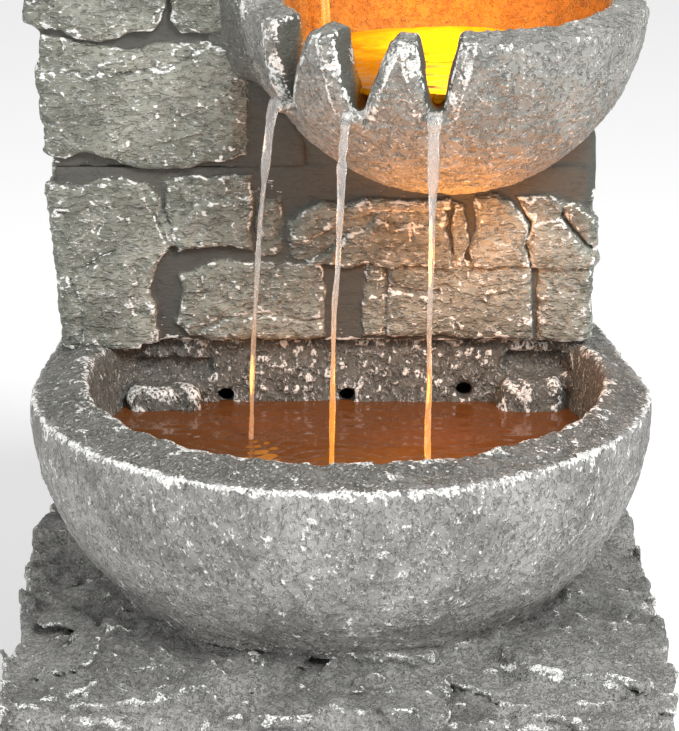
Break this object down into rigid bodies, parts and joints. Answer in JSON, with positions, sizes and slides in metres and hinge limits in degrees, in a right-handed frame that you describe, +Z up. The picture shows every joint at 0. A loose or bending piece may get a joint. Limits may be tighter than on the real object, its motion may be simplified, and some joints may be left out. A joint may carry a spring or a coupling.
{
  "type": "tiered water fountain",
  "caption": "Self-contained garden fountain: rock pedestal, half-round lower basin, stacked-stone wall and two higher bowls with V-shaped spillways.",
  "frame": {"origin": "centre of the footprint, on the ground", "axes": "+Z up, front (open side of the lower basin) towards -Y"},
  "size_m": [0.378, 0.345, 0.69],
  "materials": {
    "rock": "rough cast rock, dry-brushed white on the ridges",
    "rubber": "matt",
    "cable": "satin jacket",
    "steel": "brushed",
    "brass": "turned",
    "ceramic": "ground",
    "hose": "satin",
    "lamp_lens": "frosted, emissive warm light",
    "circuit_board": "lacquered",
    "grey_plastic": "textured",
    "black_plastic": "satin"
  },
  "bodies": {
    "fountain": {"base_block": "rock", "base_feet": "rubber", "basin_bolts": "steel", "basin_lamp_board": "circuit_board", "basin_lamp_body": "black_plastic", "basin_lamp_lead": "cable", "basin_lamp_lens": "lamp_lens", "bolt_washers": "steel", "door_inserts": "brass", "hose_clamps": "steel", "impeller_shaft": "ceramic", "inlet_gland": "black_plastic", "junction_box": "black_plastic", "junction_lid": "black_plastic", "lead_grommet": "rubber", "lower_basin": "rock", "mid_lamp_board": "circuit_board", "mid_lamp_body": "black_plastic", "mid_lamp_lead": "cable", "mid_lamp_lens": "lamp_lens", "mid_lamp_nut": "black_plastic", "middle_bowl": "rock", "outlet_fitting": "black_plastic", "outlet_nut": "black_plastic", "outlet_washer": "rubber", "pump_cups": "rubber", "pump_housing": "black_plastic", "pump_lead": "cable", "pump_volute": "black_plastic", "supply_hose": "hose", "top_bowl": "rock", "wall_shell": "rock"},
    "door": {"access_door": "grey_plastic", "door_gasket": "rubber", "door_screws": "steel"},
    "impeller": {"impeller": "black_plastic"},
    "grille": {"intake_grille": "black_plastic"},
    "dial": {"flow_dial": "black_plastic"},
    "plug": {"drain_plug": "black_plastic", "plug_seal": "rubber"}
  },
  "joints": [
    {"name": "impeller_spin", "type": "hinge", "parent": "fountain", "child": "impeller", "pos_m": [-0.046, 0.127, 0.177], "axis": [1, 0, 0], "continuous": true},
    {"name": "door_slide", "type": "slide", "parent": "fountain", "child": "door", "axis": [0, 1, 0], "range_m": [0, 0.06]},
    {"name": "grille_slide", "type": "slide", "parent": "fountain", "child": "grille", "axis": [-1, 0, 0], "range_m": [0, 0.015]},
    {"name": "dial_turn", "type": "hinge", "parent": "grille", "child": "dial", "pos_m": [-0.078, 0.127, 0.177], "axis": [-1, 0, 0], "range_deg": [0, 90]},
    {"name": "plug_pull", "type": "slide", "parent": "fountain", "child": "plug", "axis": [0, 1, 0], "range_m": [0, 0.03]}
  ]
}
